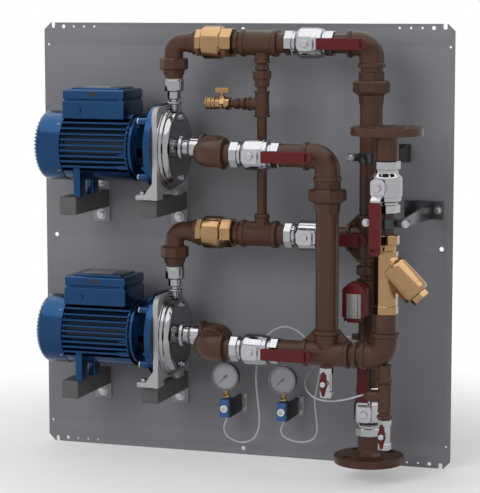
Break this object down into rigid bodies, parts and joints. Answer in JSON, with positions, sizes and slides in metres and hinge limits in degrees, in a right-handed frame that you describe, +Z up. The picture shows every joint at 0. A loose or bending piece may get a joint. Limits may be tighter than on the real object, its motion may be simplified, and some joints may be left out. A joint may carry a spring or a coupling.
{
  "type": "booster pump set",
  "caption": "Wall plate with close-coupled electric pumps, screwed pipework, check valves, ball valves with levers, strainer, flow switch, pressure gauges, and flanged inlet and outlet.",
  "frame": {"origin": "centre of the mounting plate's back face", "axes": "+Z up, +Y into the wall behind the plate, +X to the right as the viewer sees it, towards the flanged pipes"},
  "size_m": [0.9779, 0.36, 0.98],
  "materials": {
    "plate_paint": "grey powder coat",
    "arm_paint": "dark satin paint",
    "motor_blue": "satin blue enamel",
    "cast_grey": "light grey cast metal",
    "stainless": "polished stainless steel",
    "brown_paint": "satin brown paint",
    "brass": "satin brass",
    "chrome": "bright chrome plate",
    "red_sleeve": "dark red plastic sleeve",
    "dark_steel": "black paint",
    "dial_grey": "steel case, grey dial",
    "switch_blue": "blue plastic",
    "tube_grey": "grey plastic tube",
    "rotor_steel": "turned steel"
  },
  "bodies": {
    "set_frame": {"mounting_plate": "plate_paint", "upper_left_arm": "arm_paint", "upper_right_arm": "arm_paint", "lower_left_arm": "arm_paint", "lower_right_arm": "arm_paint", "upper_motor_housing": "motor_blue", "upper_fan_cowl": "motor_blue", "upper_lantern": "motor_blue", "upper_foot_plate": "cast_grey", "upper_pump_casing": "stainless", "upper_discharge_bend": "brown_paint", "upper_check_valve": "brass", "upper_suction_offset": "brown_paint", "upper_discharge_valve": "chrome", "upper_suction_valve": "chrome", "lower_motor_housing": "motor_blue", "lower_fan_cowl": "motor_blue", "lower_lantern": "motor_blue", "lower_foot_plate": "cast_grey", "lower_pump_casing": "stainless", "lower_discharge_bend": "brown_paint", "lower_check_valve": "brass", "lower_suction_offset": "brown_paint", "lower_discharge_valve": "chrome", "lower_suction_valve": "chrome", "link_pipe": "brown_paint", "drain_cock": "brass", "riser": "brown_paint", "flow_switch": "red_sleeve", "outlet_valve": "chrome", "outlet_flange": "brown_paint", "suction_manifold": "brown_paint", "strainer": "brass", "inlet_valve": "chrome", "inlet_flange": "brown_paint", "right_small_valve": "chrome", "left_small_valve": "chrome", "riser_clamp": "dark_steel", "inlet_clamp": "dark_steel", "first_gauge": "dial_grey", "second_gauge": "dial_grey", "first_pressure_switch": "switch_blue", "second_pressure_switch": "switch_blue", "first_tube": "tube_grey", "second_tube": "tube_grey"},
    "upper_rotor_body": {"upper_rotor": "rotor_steel"},
    "lower_rotor_body": {"lower_rotor": "rotor_steel"},
    "upper_discharge_lever_body": {"upper_discharge_lever": "red_sleeve"},
    "lower_discharge_lever_body": {"lower_discharge_lever": "red_sleeve"},
    "upper_suction_lever_body": {"upper_suction_lever": "red_sleeve"},
    "lower_suction_lever_body": {"lower_suction_lever": "red_sleeve"},
    "outlet_lever_body": {"outlet_lever": "red_sleeve"},
    "inlet_lever_body": {"inlet_lever": "red_sleeve"},
    "right_small_valve_handle_body": {"right_small_valve_handle": "red_sleeve"},
    "left_small_valve_handle_body": {"left_small_valve_handle": "red_sleeve"},
    "drain_cock_handle_body": {"drain_cock_handle": "brass"},
    "first_gauge_needle_body": {"first_gauge_needle": "dark_steel"},
    "second_gauge_needle_body": {"second_gauge_needle": "dark_steel"},
    "upper_poppet_body": {"upper_check_poppet": "brass"},
    "lower_poppet_body": {"lower_check_poppet": "brass"}
  },
  "joints": [
    {"name": "upper_rotor_body_turn", "type": "hinge", "parent": "set_frame", "child": "upper_rotor_body", "pos_m": [-0.0935, -0.15, 0.22], "axis": [1, 0, 0], "continuous": true},
    {"name": "lower_rotor_body_turn", "type": "hinge", "parent": "set_frame", "child": "lower_rotor_body", "pos_m": [-0.0935, -0.15, -0.193], "axis": [1, 0, 0], "continuous": true},
    {"name": "upper_discharge_lever_body_turn", "type": "hinge", "parent": "set_frame", "child": "upper_discharge_lever_body", "pos_m": [0.2005, -0.15, 0.45], "axis": [0, -1, 0], "range_deg": [0, 90]},
    {"name": "lower_discharge_lever_body_turn", "type": "hinge", "parent": "set_frame", "child": "lower_discharge_lever_body", "pos_m": [0.2005, -0.15, 0.037], "axis": [0, -1, 0], "range_deg": [0, 90]},
    {"name": "upper_suction_lever_body_turn", "type": "hinge", "parent": "set_frame", "child": "upper_suction_lever_body", "pos_m": [0.122, -0.285, 0.22], "axis": [0, -1, 0], "range_deg": [0, 90]},
    {"name": "lower_suction_lever_body_turn", "type": "hinge", "parent": "set_frame", "child": "lower_suction_lever_body", "pos_m": [0.122, -0.285, -0.193], "axis": [0, -1, 0], "range_deg": [0, 90]},
    {"name": "outlet_lever_body_turn", "type": "hinge", "parent": "set_frame", "child": "outlet_lever_body", "pos_m": [0.335, -0.15, -0.338], "axis": [0, -1, 0], "range_deg": [0, 90]},
    {"name": "inlet_lever_body_turn", "type": "hinge", "parent": "set_frame", "child": "inlet_lever_body", "pos_m": [0.404, -0.285, 0.161], "axis": [-0.1736, -0.9848, 0], "range_deg": [0, 90]},
    {"name": "right_small_valve_handle_body_turn", "type": "hinge", "parent": "set_frame", "child": "right_small_valve_handle_body", "pos_m": [0.404, -0.285, -0.3573], "axis": [0, -1, 0], "range_deg": [0, 90]},
    {"name": "left_small_valve_handle_body_turn", "type": "hinge", "parent": "set_frame", "child": "left_small_valve_handle_body", "pos_m": [0.278, -0.285, -0.2543], "axis": [0, -1, 0], "range_deg": [0, 90]},
    {"name": "drain_cock_handle_body_turn", "type": "hinge", "parent": "set_frame", "child": "drain_cock_handle_body", "pos_m": [0.001, -0.15, 0.319], "axis": [0, 0, 1], "range_deg": [0, 90]},
    {"name": "first_gauge_needle_body_turn", "type": "hinge", "parent": "set_frame", "child": "first_gauge_needle_body", "pos_m": [-0.016, -0.0813, -0.297], "axis": [0, 1, 0], "range_deg": [0, 270], "stiffness_Nm_per_rad": 0.0006, "springref_deg": -22.92},
    {"name": "second_gauge_needle_body_turn", "type": "hinge", "parent": "set_frame", "child": "second_gauge_needle_body", "pos_m": [0.118, -0.0813, -0.297], "axis": [0, 1, 0], "range_deg": [0, 270], "stiffness_Nm_per_rad": 0.0006, "springref_deg": -22.92},
    {"name": "upper_poppet_slide", "type": "slide", "parent": "set_frame", "child": "upper_poppet_body", "axis": [1, 0, 0], "range_m": [0, 0.008], "stiffness_N_per_m": 300, "springref_m": -0.008},
    {"name": "lower_poppet_slide", "type": "slide", "parent": "set_frame", "child": "lower_poppet_body", "axis": [1, 0, 0], "range_m": [0, 0.008], "stiffness_N_per_m": 300, "springref_m": -0.008}
  ]
}
